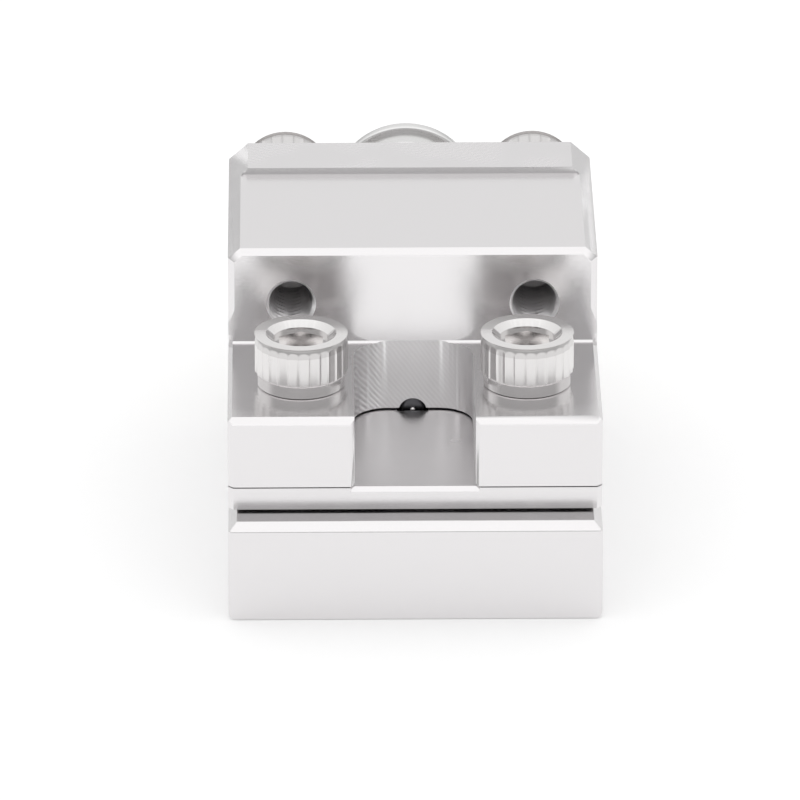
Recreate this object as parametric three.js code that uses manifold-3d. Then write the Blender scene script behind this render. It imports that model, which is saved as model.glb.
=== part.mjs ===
// A small watchmaker's holder in satin aluminium: a base block, a seat plate and a stepped upper
// jaw that two cap screws draw together. A round-cornered seat opens to the front of the upper jaw.
// At its back a bore on the parting plane holds a stop rod, which a knob behind sets by a screw.
// Millimetres, +Z up, +X right, +Y to the back. The root group's origin is the middle of the
// footprint, on the surface that the holder stands on. Depths below run back from the base's front.
import * as THREE from "three";
import { mergeVertices } from "three/addons/utils/BufferGeometryUtils.js";
import Module from "manifold-3d";

const wasm = await Module();
wasm.setup();

// ---- driving dimensions ----
const WIDTH = 34;
const HALF_WIDTH = WIDTH / 2;
const BODY_DEPTH = 46.4;
const OVERALL_DEPTH = 76.5;
const BASE_HEIGHT = 9.42;
const LIP_DEPTH = 3;
const SEAT_TOP = 11.7;
const SEAT_UNDERSIDE = 9.62;
const SEAT_FOOT_INSET = 1.6;
const FACE_GAP = 0.02;
const JAW_GAP = 0.1;
const JAW_BOTTOM = SEAT_TOP + JAW_GAP;
const LEDGE_TOP = 18.5;
const WALL_DEPTH = 21;
const SHOULDER_TOP = 27.7;
const RAISED_DEPTH = 40;
const JAW_TOP = 28.3;
const SIDE_BEVEL = { width: 1.8, height: 1.6 };

const POCKET_HALF_WIDTH = 5.5;
const POCKET_CORNER_RADIUS = 3.2;
const POCKET_BACK_DEPTH = WALL_DEPTH;
const BORE_AXIS_HEIGHT = 11.6;
const BORE_RADIUS = 1.3;
const SEAT_GROOVE_RADIUS = 1.45;
const CHAMBER_RADIUS = 2.5;
const CHAMBER_DEPTH = 33.5;
const SEAT_NOTCH_HALF_WIDTH = 2.6;

const SCREW_RADIUS = 2.45;
const SCREW_HOLE_RADIUS = 2.6;
const THREAD_CORE_RADIUS = 2.3;
const SCREW_HEAD_RADIUS = 4.25;
const SCREW_BAND_RADIUS = 3.98;
const SCREW_HEAD_HEIGHT = 5;
const SCREW_SOCKET_FLATS = 4;
const FRONT_SCREW = { x: 10.3, depth: 11.4, length: 16 };
const REAR_SCREW = { x: 11.7, height: 22.6, length: 12 };
const TAPPED_HOLE = { x: 11.2, height: 22.4, end: 32.4 };

const REAR_PLATE = { thickness: 1.58, halfWidth: 16.3, bottom: 5, top: 27.2, corner: 4.6 };
const REAR_PLATE_FRONT = BODY_DEPTH + FACE_GAP;
const REAR_PLATE_BACK = REAR_PLATE_FRONT + REAR_PLATE.thickness;

const DOWEL = { x: 11.3, depth: 30, radius: 1.5, bottom: 3.5, top: 17.4 };
const SPRING = { meanRadius: 2.25, wireRadius: 0.26, turns: 4.5, top: 16.1 };
const SPRING_POCKET_RADIUS = 2.8;
const PLATE_SCREW = { x: 6.8, depth: 37.5, radius: 1.2, headRadius: 2.3, bottom: 4.6 };

const BUSH = { radius: 3.5, flangeRadius: 4.6, flange: 1.3, back: 53.1 };
const SPINDLE_RADIUS = 1.98;
const SPINDLE = { front: 34, back: 68, neckRadius: 0.75, neckFront: 31.4 };
const ROD = { radius: 1.23, front: 21.5, back: 33.8 };
const STOP_PIN = { radius: 0.3, tip: 21.15, root: 24 };
const CLIP = { front: 38.7, back: 39.3, outer: 2.1, inner: 1.68, grooveRadius: 1.62 };
const KNOB = { rimRadius: 7, rimWidth: 1.2, rimEdge: 0.3, barrelRadius: 6.4, hubRadius: 4.6, hubFront: 53.2,
  gripFront: 58.8, grooveDepth: 72.6, dishRadius: 4.7, screwDepth: 56.2 };
const GRUB = { radius: 1.4, holeRadius: 1.5, socketFlats: 1.5 };

const FINE = 32;
const COARSE = 20;
const CURVE_STEPS = 12;

const aluminium = new THREE.MeshStandardMaterial({ color: 0xdcdcdf, roughness: 0.3, metalness: 1 });
const plated = new THREE.MeshStandardMaterial({ color: 0xc9c7c4, roughness: 0.22, metalness: 1 });
const steel = new THREE.MeshStandardMaterial({ color: 0x8f9194, roughness: 0.3, metalness: 1 });
const brass = new THREE.MeshStandardMaterial({ color: 0xc9a55c, roughness: 0.3, metalness: 1 });

// ---- solids ----
// A closed three.js geometry as a solid: shared vertices merged, collapsed faces dropped.
function solid(geometry) {
  const bare = geometry.clone();
  bare.deleteAttribute("normal");
  bare.deleteAttribute("uv");
  const merged = mergeVertices(bare, 1e-5);
  const index = merged.index.array;
  const kept = [];
  for (let i = 0; i < index.length; i += 3) {
    const [a, b, c] = [index[i], index[i + 1], index[i + 2]];
    if (a !== b && b !== c && c !== a) kept.push(a, b, c);
  }
  return new wasm.Manifold(new wasm.Mesh({
    numProp: 3,
    vertProperties: merged.attributes.position.array,
    triVerts: new Uint32Array(kept),
  }));
}

function join(first, ...others) {
  return others.reduce((sum, other) => sum.add(other), first);
}

function cut(body, ...tools) {
  return tools.reduce((rest, tool) => rest.subtract(tool), body);
}

function block([x0, x1], [y0, y1], [z0, z1]) {
  const box = new THREE.BoxGeometry(x1 - x0, y1 - y0, z1 - z0);
  return solid(box.translate((x0 + x1) / 2, (y0 + y1) / 2, (z0 + z1) / 2));
}

function extrude(outline, depth) {
  return new THREE.ExtrudeGeometry(outline, { depth, bevelEnabled: false, curveSegments: CURVE_STEPS });
}

function polygon(corners) {
  return new THREE.Shape(corners.map(([u, v]) => new THREE.Vector2(u, v)));
}

// An outline in X and Y, extruded up.
function prismZ(outline, z0, z1) {
  return solid(extrude(outline, z1 - z0).translate(0, 0, z0));
}

// An outline in Y and Z, extruded along X.
function prismX(outline, x0, x1) {
  const axes = [new THREE.Vector3(0, 1, 0), new THREE.Vector3(0, 0, 1), new THREE.Vector3(1, 0, 0)];
  const turn = new THREE.Matrix4().makeBasis(...axes);
  return solid(extrude(outline, x1 - x0).applyMatrix4(turn).translate(x0, 0, 0));
}

// An outline in X and Z, extruded along Y.
function prismY(outline, y0, y1) {
  const axes = [new THREE.Vector3(1, 0, 0), new THREE.Vector3(0, 0, 1), new THREE.Vector3(0, -1, 0)];
  const turn = new THREE.Matrix4().makeBasis(...axes);
  return solid(extrude(outline, y1 - y0).applyMatrix4(turn).translate(0, y1, 0));
}

// A body of revolution about Z. Each point of the profile is [radius, height], from low to high.
function turned(profile, segments = FINE) {
  const points = profile.map(([r, h]) => new THREE.Vector2(r, h));
  return solid(new THREE.LatheGeometry(points, segments).rotateX(Math.PI / 2));
}

// A bar along Z from z0 to z1, with its ends broken by a small chamfer.
function bar(radius, z0, z1, chamfer = 0, segments = COARSE) {
  const edge = radius - chamfer;
  return turned([[0, z0], [edge, z0], [radius, z0 + chamfer], [radius, z1 - chamfer], [edge, z1], [0, z1]],
    segments);
}

// A solid made along Z, turned so that its Z runs back along Y, and then moved.
function alongDepth(made, x, z) {
  return made.rotate([-90, 0, 0]).translate([x, 0, z]);
}

// A bar along Y between two depths.
function barY(radius, y0, y1, x, z, segments = COARSE) {
  return alongDepth(bar(radius, y0, y1, 0, segments), x, z);
}

function hexagon(flats) {
  const corners = [0, 1, 2, 3, 4, 5].map((i) => {
    const angle = (i + 0.5) * Math.PI / 3;
    const reach = flats / Math.sqrt(3);
    return [reach * Math.cos(angle), reach * Math.sin(angle)];
  });
  return polygon(corners);
}

const BOTH_SIDES = [-1, 1];

// The strip that a 45 degree chamfer takes off an edge along Y: the edge is at (x, z).
function edgeAlongY(x, z, size, y0, y1) {
  const reach = size * 1.5;
  const corner = [[x - Math.sign(x) * size, z], [x, z - size], [x + Math.sign(x) * reach, z - size],
    [x + Math.sign(x) * reach, z + reach], [x - Math.sign(x) * size, z + reach]];
  return prismY(polygon(x > 0 ? corner : corner.reverse()), y0, y1);
}

// The same along X, for an edge at (y, z) whose material lies behind and below it.
function edgeAlongX(y, z, size, x0, x1) {
  const reach = size * 1.5;
  const corners = [[y + size, z], [y + size, z + reach], [y - reach, z + reach], [y - reach, z - size],
    [y, z - size]];
  return prismX(polygon(corners), x0, x1);
}

// The same along Z, for an upright edge at (x, y) whose material lies behind it. The cut is open
// to the front and to the given side.
function edgeAlongZ(x, y, size, z0, z1, side = Math.sign(x)) {
  const reach = size * 1.5;
  const corners = [[x - side * size, y], [x - side * size, y - reach], [x + side * reach, y - reach],
    [x + side * reach, y + size], [x, y + size]];
  return prismZ(polygon(side > 0 ? corners : corners.reverse()), z0, z1);
}

// ---- base ----
function baseBlock() {
  const back = BODY_DEPTH - 0.1;
  const bottomEdge = 0.4;
  const topEdge = 0.8;
  const section = polygon([[-HALF_WIDTH + bottomEdge, 0], [HALF_WIDTH - bottomEdge, 0],
    [HALF_WIDTH, bottomEdge], [HALF_WIDTH, BASE_HEIGHT - topEdge], [HALF_WIDTH - topEdge, BASE_HEIGHT],
    [topEdge - HALF_WIDTH, BASE_HEIGHT], [-HALF_WIDTH, BASE_HEIGHT - topEdge], [-HALF_WIDTH, bottomEdge]]);
  let body = cut(prismY(section, 0, back), edgeAlongX(0, BASE_HEIGHT, 0.75, -WIDTH, WIDTH));
  for (const side of BOTH_SIDES) {
    body = cut(body,
      bar(SCREW_HOLE_RADIUS, 1.6, BASE_HEIGHT + 1).translate([side * FRONT_SCREW.x, FRONT_SCREW.depth, 0]),
      bar(DOWEL.radius + 0.03, DOWEL.bottom - 0.3, BASE_HEIGHT + 1).translate([side * DOWEL.x, DOWEL.depth, 0]),
      bar(PLATE_SCREW.radius + 0.1, PLATE_SCREW.bottom - 0.8, BASE_HEIGHT + 1)
        .translate([side * PLATE_SCREW.x, PLATE_SCREW.depth, 0]));
  }
  return body;
}

// A plate on a shallow foot, so that a thin dark slot shows all round above the base.
function seatPlate() {
  const back = BODY_DEPTH - 0.1;
  const inset = SEAT_FOOT_INSET;
  const mouth = POCKET_HALF_WIDTH + 0.36;
  let body = join(
    block([-HALF_WIDTH, HALF_WIDTH], [LIP_DEPTH, back], [SEAT_UNDERSIDE, SEAT_TOP]),
    block([inset - HALF_WIDTH, HALF_WIDTH - inset], [LIP_DEPTH + inset, back - inset],
      [BASE_HEIGHT + FACE_GAP, SEAT_UNDERSIDE + 0.5]));
  body = cut(body,
    edgeAlongX(LIP_DEPTH, SEAT_TOP, 0.4, -mouth, mouth),
    barY(SEAT_GROOVE_RADIUS, POCKET_BACK_DEPTH - 0.1, BODY_DEPTH, 0, BORE_AXIS_HEIGHT),
    block([-SEAT_NOTCH_HALF_WIDTH, SEAT_NOTCH_HALF_WIDTH], [CHAMBER_DEPTH, BODY_DEPTH], [0, SEAT_TOP + 1]));
  for (const side of BOTH_SIDES) {
    const plateScrewHole = turned([[0, 0], [PLATE_SCREW.radius + 0.1, 0],
      [PLATE_SCREW.radius + 0.1, SEAT_TOP - 1.25], [PLATE_SCREW.headRadius + 0.1, SEAT_TOP - 0.1],
      [PLATE_SCREW.headRadius + 0.1, SEAT_TOP + 1], [0, SEAT_TOP + 1]], COARSE);
    body = cut(body,
      edgeAlongZ(side * HALF_WIDTH, LIP_DEPTH, 0.5, 0, SEAT_TOP + 1),
      bar(SCREW_HOLE_RADIUS, 0, SEAT_TOP + 1).translate([side * FRONT_SCREW.x, FRONT_SCREW.depth, 0]),
      bar(DOWEL.radius + 0.05, 0, SEAT_TOP + 1).translate([side * DOWEL.x, DOWEL.depth, 0]),
      plateScrewHole.translate([side * PLATE_SCREW.x, PLATE_SCREW.depth, 0]));
  }
  return body;
}

function plateScrew() {
  const { radius, headRadius, bottom } = PLATE_SCREW;
  const top = SEAT_TOP - 0.08;
  const body = turned([[0, bottom], [radius - 0.2, bottom], [radius, bottom + 0.2], [radius, SEAT_TOP - 1.25],
    [headRadius, top - 0.1], [headRadius, top], [0, top]], COARSE);
  return cut(body, prismZ(hexagon(1.5), top - 0.9, top + 1));
}

function guideDowel() {
  return bar(DOWEL.radius, DOWEL.bottom, DOWEL.top, 0.25);
}

// A coil of constant pitch, whose wire starts and ends lying on its neighbours.
class Coil extends THREE.Curve {
  getPoint(t) {
    const { meanRadius, wireRadius, turns, top } = SPRING;
    const low = SEAT_TOP + wireRadius + FACE_GAP;
    const high = top - wireRadius - FACE_GAP;
    const angle = 2 * Math.PI * turns * t;
    return new THREE.Vector3(meanRadius * Math.cos(angle), meanRadius * Math.sin(angle), low + (high - low) * t);
  }
}

function liftSpring() {
  const wire = polygon([0, 1, 2, 3, 4, 5].map((i) => {
    const angle = i * Math.PI / 3;
    return [SPRING.wireRadius * Math.cos(angle), SPRING.wireRadius * Math.sin(angle)];
  }));
  const steps = Math.round(SPRING.turns * 12);
  return solid(new THREE.ExtrudeGeometry(wire, { extrudePath: new Coil(), steps }));
}

// ---- upper jaw ----
function pocketOutline() {
  const radius = POCKET_CORNER_RADIUS;
  const flatEnd = POCKET_HALF_WIDTH - radius;
  const sideEnd = POCKET_BACK_DEPTH - radius;
  const outline = new THREE.Shape();
  outline.moveTo(-POCKET_HALF_WIDTH, LIP_DEPTH - 1);
  outline.lineTo(POCKET_HALF_WIDTH, LIP_DEPTH - 1);
  outline.absarc(flatEnd, sideEnd, radius, 0, Math.PI / 2, false);
  outline.absarc(-flatEnd, sideEnd, radius, Math.PI / 2, Math.PI, false);
  return outline;
}

// The stepped side view: ledge, wall, shoulder and the raised land at the back.
function steppedSection() {
  const backEdge = 0.2;
  const stepRun = 0.1;
  return polygon([[LIP_DEPTH, JAW_BOTTOM], [BODY_DEPTH, JAW_BOTTOM], [BODY_DEPTH, JAW_TOP - backEdge],
    [BODY_DEPTH - backEdge, JAW_TOP], [RAISED_DEPTH, JAW_TOP], [RAISED_DEPTH - stepRun, SHOULDER_TOP],
    [WALL_DEPTH + 0.55, SHOULDER_TOP], [WALL_DEPTH, SHOULDER_TOP - 0.55], [WALL_DEPTH, LEDGE_TOP],
    [LIP_DEPTH + 0.61, LEDGE_TOP], [LIP_DEPTH, LEDGE_TOP - 0.61]]);
}

// The slopes along both top sides, one plane for shoulder and raised land alike.
function sideBevels() {
  const { width, height } = SIDE_BEVEL;
  const foot = JAW_TOP - height;
  return BOTH_SIDES.map((side) => {
    const corners = [[side * HALF_WIDTH, foot], [side * (HALF_WIDTH + width), foot],
      [side * (HALF_WIDTH + width), JAW_TOP + height], [side * (HALF_WIDTH - 2 * width), JAW_TOP + height]];
    return prismY(polygon(side > 0 ? corners : corners.reverse()), 0, BODY_DEPTH + 1);
  });
}

function upperBody() {
  let body = prismX(steppedSection(), -HALF_WIDTH, HALF_WIDTH);
  body = cut(body, prismZ(pocketOutline(), 0, LEDGE_TOP + 0.001), ...sideBevels(),
    barY(BORE_RADIUS, POCKET_BACK_DEPTH - 1, BODY_DEPTH + 1, 0, BORE_AXIS_HEIGHT, FINE),
    barY(CHAMBER_RADIUS, CHAMBER_DEPTH, BODY_DEPTH + 1, 0, BORE_AXIS_HEIGHT));
  for (const side of BOTH_SIDES) {
    body = cut(body,
      edgeAlongY(side * HALF_WIDTH, LEDGE_TOP, 0.45, 0, WALL_DEPTH),
      edgeAlongZ(side * HALF_WIDTH, WALL_DEPTH, 0.6, LEDGE_TOP + 2.7, JAW_TOP + 1),
      edgeAlongZ(side * HALF_WIDTH, LIP_DEPTH, 0.5, 0, LEDGE_TOP + 1),
      edgeAlongZ(side * POCKET_HALF_WIDTH, LIP_DEPTH, 0.4, 0, LEDGE_TOP + 1, -side),
      bar(SCREW_HOLE_RADIUS, 0, LEDGE_TOP + 1).translate([side * FRONT_SCREW.x, FRONT_SCREW.depth, 0]),
      bar(DOWEL.radius + 0.05, 0, DOWEL.top + 0.9).translate([side * DOWEL.x, DOWEL.depth, 0]),
      bar(SPRING_POCKET_RADIUS, 0, SPRING.top).translate([side * DOWEL.x, DOWEL.depth, 0]),
      barY(THREAD_CORE_RADIUS, WALL_DEPTH - 1, TAPPED_HOLE.end, side * TAPPED_HOLE.x, TAPPED_HOLE.height, FINE),
      barY(SCREW_HOLE_RADIUS, BODY_DEPTH - REAR_SCREW.length, BODY_DEPTH + 1, side * REAR_SCREW.x,
        REAR_SCREW.height));
  }
  return body;
}

function rearPlate() {
  const { halfWidth, bottom, top, corner } = REAR_PLATE;
  const outline = new THREE.Shape();
  outline.absarc(halfWidth - corner, bottom + corner, corner, -Math.PI / 2, 0, false);
  outline.absarc(halfWidth - corner, top - corner, corner, 0, Math.PI / 2, false);
  outline.absarc(corner - halfWidth, top - corner, corner, Math.PI / 2, Math.PI, false);
  outline.absarc(corner - halfWidth, bottom + corner, corner, Math.PI, Math.PI * 1.5, false);
  let plate = prismY(outline, REAR_PLATE_FRONT, REAR_PLATE_BACK);
  plate = cut(plate, barY(BUSH.radius + 0.03, BODY_DEPTH - 1, BODY_DEPTH + 5, 0, BORE_AXIS_HEIGHT, FINE));
  for (const side of BOTH_SIDES) {
    plate = cut(plate,
      barY(SCREW_HOLE_RADIUS, BODY_DEPTH - 1, BODY_DEPTH + 5, side * REAR_SCREW.x, REAR_SCREW.height));
  }
  return plate;
}

function spindleBush() {
  const { radius, flangeRadius, flange, back } = BUSH;
  const flangeFront = REAR_PLATE_BACK + FACE_GAP;
  const body = turned([[0, REAR_PLATE_FRONT], [radius, REAR_PLATE_FRONT], [radius, flangeFront],
    [flangeRadius - 0.2, flangeFront], [flangeRadius, flangeFront + 0.2], [flangeRadius, flangeFront + flange - 0.2],
    [flangeRadius - 0.2, flangeFront + flange], [radius - 0.1, flangeFront + flange], [radius - 0.1, back - 0.3],
    [radius - 0.4, back], [0, back]]);
  return alongDepth(cut(body, bar(SPINDLE_RADIUS + 0.08, BODY_DEPTH - 1, back + 1)), 0, BORE_AXIS_HEIGHT);
}

// A socket cap screw about Z: the head stands up from height 0 and the shank hangs below it.
function capScrew(length) {
  const top = SCREW_HEAD_HEIGHT;
  const seat = FACE_GAP;
  const body = turned([[0, -length], [SCREW_RADIUS - 0.5, -length], [SCREW_RADIUS, 0.5 - length],
    [SCREW_RADIUS, seat], [SCREW_BAND_RADIUS - 0.1, seat], [SCREW_BAND_RADIUS, seat + 0.1],
    [SCREW_BAND_RADIUS, 1.15], [SCREW_HEAD_RADIUS, 1.35], [SCREW_HEAD_RADIUS, top - 0.7],
    [SCREW_HEAD_RADIUS - 0.5, top], [0, top]]);
  const mouth = turned([[0, top - 0.7], [2.5, top - 0.7], [2.5, top - 0.42], [3.07, top + 0.15], [0, top + 0.15]],
    COARSE);
  return cut(body, prismZ(hexagon(SCREW_SOCKET_FLATS), top - 2.6, top + 1), mouth);
}

// ---- stop rod, spindle and knob, all about the bore's axis ----
function stopRod() {
  const { radius, front, back } = ROD;
  const body = turned([[0, front], [radius * 0.62, front], [radius * 0.88, front + 0.22], [radius, front + 0.6],
    [radius, back - 0.2], [radius - 0.2, back], [0, back]]);
  const pinHole = bar(STOP_PIN.radius + 0.02, front - 1, STOP_PIN.root + 0.1);
  const swivel = bar(SPINDLE.neckRadius + 0.06, SPINDLE.neckFront - 0.15, back + 1);
  return alongDepth(cut(body, pinHole, swivel), 0, BORE_AXIS_HEIGHT);
}

function stopPin() {
  const { radius, tip, root } = STOP_PIN;
  const body = turned([[0, tip], [radius * 0.55, tip + 0.06], [radius, tip + 0.28], [radius, root], [0, root]],
    COARSE);
  return alongDepth(body, 0, BORE_AXIS_HEIGHT);
}

function spindle() {
  const { front, back, neckRadius, neckFront } = SPINDLE;
  const r = SPINDLE_RADIUS;
  const body = turned([[0, neckFront], [neckRadius - 0.1, neckFront], [neckRadius, neckFront + 0.1],
    [neckRadius, front], [r - 0.3, front], [r, front + 0.3], [r, CLIP.front - 0.04],
    [CLIP.grooveRadius, CLIP.front - 0.04], [CLIP.grooveRadius, CLIP.back + 0.04], [r, CLIP.back + 0.04],
    [r, back - 0.3], [r - 0.3, back], [0, back]], COARSE);
  return alongDepth(body, 0, BORE_AXIS_HEIGHT);
}

// An open ring in the spindle's groove. It meets the bush when the rod is fully drawn back.
function spindleClip() {
  const open = 0.5;
  const outline = new THREE.Shape();
  outline.absarc(0, 0, CLIP.outer, Math.PI / 2 + open, Math.PI * 2.5 - open, false);
  outline.absarc(0, 0, CLIP.inner, Math.PI * 2.5 - open, Math.PI / 2 + open, true);
  return alongDepth(prismZ(outline, CLIP.front, CLIP.back), 0, BORE_AXIS_HEIGHT);
}

// A turned knob: hub, barrel with one groove, and a narrow rim around its back end.
function knob() {
  const { rimRadius, rimWidth, rimEdge, barrelRadius, hubRadius, hubFront, gripFront, grooveDepth } = KNOB;
  const back = OVERALL_DEPTH;
  const rimFront = back - rimWidth;
  const body = turned([[0, hubFront], [hubRadius - 0.3, hubFront], [hubRadius, hubFront + 0.3],
    [hubRadius, gripFront], [barrelRadius - 0.6, gripFront], [barrelRadius, gripFront + 0.6],
    [barrelRadius, grooveDepth - 0.2], [barrelRadius - 0.2, grooveDepth], [barrelRadius, grooveDepth + 0.2],
    [barrelRadius, rimFront], [rimRadius - rimEdge, rimFront], [rimRadius, rimFront + rimEdge],
    [rimRadius, back - rimEdge], [rimRadius - rimEdge, back], [0, back]]);
  const dish = bar(KNOB.dishRadius, back - 0.5, back + 1);
  const bore = bar(SPINDLE_RADIUS + 0.06, hubFront - 1, SPINDLE.back + 0.2);
  const screwHole = bar(GRUB.holeRadius, 0, rimRadius + 1).rotate([90, 0, 0]).translate([0, 0, KNOB.screwDepth]);
  return alongDepth(cut(body, dish, bore, screwHole), 0, BORE_AXIS_HEIGHT);
}

// The grub screw sits upright in the knob's hub and bears on the spindle.
function knobGrubScrew() {
  const low = SPINDLE_RADIUS + 0.08;
  const high = KNOB.hubRadius - 0.25;
  const body = cut(bar(GRUB.radius, low, high, 0.2), prismZ(hexagon(GRUB.socketFlats), high - 1.1, high + 1));
  return body.translate([0, KNOB.screwDepth, BORE_AXIS_HEIGHT]);
}

// ---- scene ----
function node(name, made, material, { at = [0, 0, 0], tilt = 0 } = {}) {
  const { numProp, vertProperties, triVerts } = made.getMesh();
  const shared = new THREE.BufferGeometry();
  shared.setAttribute("position", new THREE.BufferAttribute(new Float32Array(vertProperties), numProp));
  shared.setIndex(new THREE.BufferAttribute(new Uint32Array(triVerts), 1));
  const mesh = new THREE.Mesh(shared.toNonIndexed(), material);
  mesh.geometry.computeVertexNormals();
  mesh.name = name;
  mesh.position.set(...at);
  mesh.rotation.x = tilt;
  return mesh;
}

function group(...meshes) {
  return new THREE.Group().add(...meshes);
}

const lowerJaw = group(
  node("base_block", baseBlock(), aluminium),
  node("seat_plate", seatPlate(), aluminium));
const upperJaw = group(
  node("upper_body", upperBody(), aluminium),
  node("rear_plate", rearPlate(), aluminium),
  node("spindle_bush", spindleBush(), brass));
for (const [label, side] of [["left", -1], ["right", 1]]) {
  lowerJaw.add(
    node("seat_plate_screw_" + label, plateScrew(), steel, { at: [side * PLATE_SCREW.x, PLATE_SCREW.depth, 0] }),
    node("guide_dowel_" + label, guideDowel(), steel, { at: [side * DOWEL.x, DOWEL.depth, 0] }),
    node("lift_spring_" + label, liftSpring(), steel, { at: [side * DOWEL.x, DOWEL.depth, 0] }));
  upperJaw.add(
    node("front_cap_screw_" + label, capScrew(FRONT_SCREW.length), plated,
      { at: [side * FRONT_SCREW.x, FRONT_SCREW.depth, LEDGE_TOP] }),
    node("rear_cap_screw_" + label, capScrew(REAR_SCREW.length), plated,
      { at: [side * REAR_SCREW.x, REAR_PLATE_BACK, REAR_SCREW.height], tilt: -Math.PI / 2 }));
}
const stop = group(
  node("stop_rod", stopRod(), steel),
  node("stop_pin", stopPin(), steel),
  node("spindle", spindle(), steel),
  node("spindle_clip", spindleClip(), steel),
  node("knob", knob(), aluminium),
  node("knob_grub_screw", knobGrubScrew(), steel));

const holder = group(lowerJaw, upperJaw, stop);
holder.position.y = -OVERALL_DEPTH / 2;
export default holder;
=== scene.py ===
"""Looks for the watchmaker's holder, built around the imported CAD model.

Shapes are made in millimetres, with Y as the depth behind the base's front, and are then moved into
the row frame in metres. Materials are procedural and work in the object's own coordinates.
"""

from math import cos, hypot, pi, radians, sin, sqrt

import bmesh
import bpy
from mathutils import Matrix, Vector


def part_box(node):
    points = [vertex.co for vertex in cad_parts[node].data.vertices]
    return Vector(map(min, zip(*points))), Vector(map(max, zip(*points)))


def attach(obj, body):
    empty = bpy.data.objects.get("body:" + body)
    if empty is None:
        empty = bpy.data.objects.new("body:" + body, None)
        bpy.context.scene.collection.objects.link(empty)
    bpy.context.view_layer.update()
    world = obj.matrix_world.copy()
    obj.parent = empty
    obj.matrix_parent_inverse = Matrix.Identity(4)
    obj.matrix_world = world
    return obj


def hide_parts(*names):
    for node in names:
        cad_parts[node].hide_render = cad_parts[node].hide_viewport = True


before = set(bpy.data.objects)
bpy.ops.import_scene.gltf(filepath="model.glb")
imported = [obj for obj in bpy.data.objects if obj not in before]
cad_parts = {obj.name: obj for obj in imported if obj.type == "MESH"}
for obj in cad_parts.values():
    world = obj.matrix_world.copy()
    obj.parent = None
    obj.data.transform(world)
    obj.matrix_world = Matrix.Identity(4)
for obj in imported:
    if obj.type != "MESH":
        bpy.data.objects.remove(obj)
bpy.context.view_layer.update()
scene = bpy.context.scene
MM = 0.001

# ---- places and sizes, in millimetres, some read from the imported model and the rest given ----


def span(node):
    """A CAD node's lowest and highest corners in millimetres, with Y as depth."""
    low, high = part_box(node)
    shift = Vector((0, FRONT, 0))
    return (low - shift) / MM, (high - shift) / MM


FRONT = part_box("base_block")[0].y
BASE_HIGH = span("base_block")[1]
SEAT_LOW, SEAT_HIGH = span("seat_plate")
JAW_LOW, JAW_HIGH = span("upper_body")
PLATE_LOW, PLATE_HIGH = span("rear_plate")
BUSH_LOW, BUSH_HIGH = span("spindle_bush")
KNOB_LOW, KNOB_HIGH = span("knob")
SPINDLE_LOW, SPINDLE_HIGH = span("spindle")
ROD_LOW, ROD_HIGH = span("stop_rod")
PIN_LOW, PIN_HIGH = span("stop_pin")
CLIP_LOW, CLIP_HIGH = span("spindle_clip")

HALF = BASE_HIGH.x
BASE_TOP = BASE_HIGH.z
BODY_DEPTH = JAW_HIGH.y
LIP = JAW_LOW.y
SEAT_UNDERSIDE = 9.62
JAW_BOTTOM = JAW_LOW.z
JAW_TOP = JAW_HIGH.z
LEDGE_TOP = 18.5
WALL_DEPTH = 21
SHOULDER_TOP = 27.7
RAISED_DEPTH = 40
BEVEL_WIDTH = 1.8
BEVEL_HEIGHT = 1.6
POCKET_HALF = 5.5
POCKET_CORNER = 3.2
POCKET_BACK = WALL_DEPTH
BORE_HEIGHT = (ROD_LOW.z + ROD_HIGH.z) / 2
BORE_RADIUS = 1.3
GROOVE_RADIUS = 1.45
CHAMBER_RADIUS = 2.5
CHAMBER_DEPTH = 33.5
NOTCH_HALF_WIDTH = 2.6
SCREW_RADIUS = 2.45
SCREW_HOLE_RADIUS = 2.6
SOCKET_CORNER = 2.309  # from the middle of the 4 mm hexagon to a corner
FRONT_SCREW = {"x": 10.3, "depth": 11.4, "length": 16}
REAR_SCREW = {"x": 11.7, "height": 22.6, "length": 12}
TAPPED_HOLE = {"x": 11.2, "height": 22.4, "end": 32.4}
DOWEL = {"x": 11.3, "depth": 30, "radius": 1.5, "bottom": 3.5, "top": 17.4}
SPRING_POCKET = {"radius": 2.8, "top": 16.1}
PLATE_SCREW = {"x": 6.8, "depth": 37.5, "radius": 1.2, "head": 2.3, "bottom": 4.6}
PLATE_CORNER = 4
HOLE_CORE = 2.04
HOLE_MOUTH = 2.3
COARSE_PITCH = 0.8
SPINDLE_PITCH = 0.7
SIDES = (-1, 1)
ROUND = 96
PAST = 1  # how far a cutting shape reaches past the surface it cuts

# Clearances of the holes, as in the CAD model
DOWEL_FIT = {"base": 0.03, "plate": 0.05, "floor": 0.3, "roof": 0.9}
PLATE_SCREW_FIT = {"side": 0.1, "floor": 0.8, "sink": 1.25, "rim": 0.1}


# ---- shapes ----
def make(points, faces):
    data = bpy.data.meshes.new("shape")
    data.from_pydata(points, [], faces)
    shape = bmesh.new()
    shape.from_mesh(data)
    bmesh.ops.recalc_face_normals(shape, faces=shape.faces)
    shape.to_mesh(data)
    shape.free()
    obj = bpy.data.objects.new("shape", data)
    scene.collection.objects.link(obj)
    return obj


def loft(rings, closed=False):
    """A skin over rings of equal length, with flat ends, or joined end to end when closed."""
    count = len(rings[0])
    points = [p for ring in rings for p in ring]
    faces = []
    for i in range(len(rings) if closed else len(rings) - 1):
        here, there = i * count, (i + 1) % len(rings) * count
        for k in range(count):
            after = (k + 1) % count
            faces.append((here + k, here + after, there + after, there + k))
    if not closed:
        faces.append(tuple(range(count)))
        faces.append(tuple(len(points) - count + k for k in range(count)))
    return make(points, faces)


def prism(outline, axis, low, high):
    def at(u, v, w):
        return {"x": (w, u, v), "y": (u, w, v), "z": (u, v, w)}[axis]
    return loft([[at(u, v, w) for u, v in outline] for w in (low, high)])


def box(x, y, z):
    return prism([(x[0], y[0]), (x[1], y[0]), (x[1], y[1]), (x[0], y[1])], "z", *z)


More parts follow.
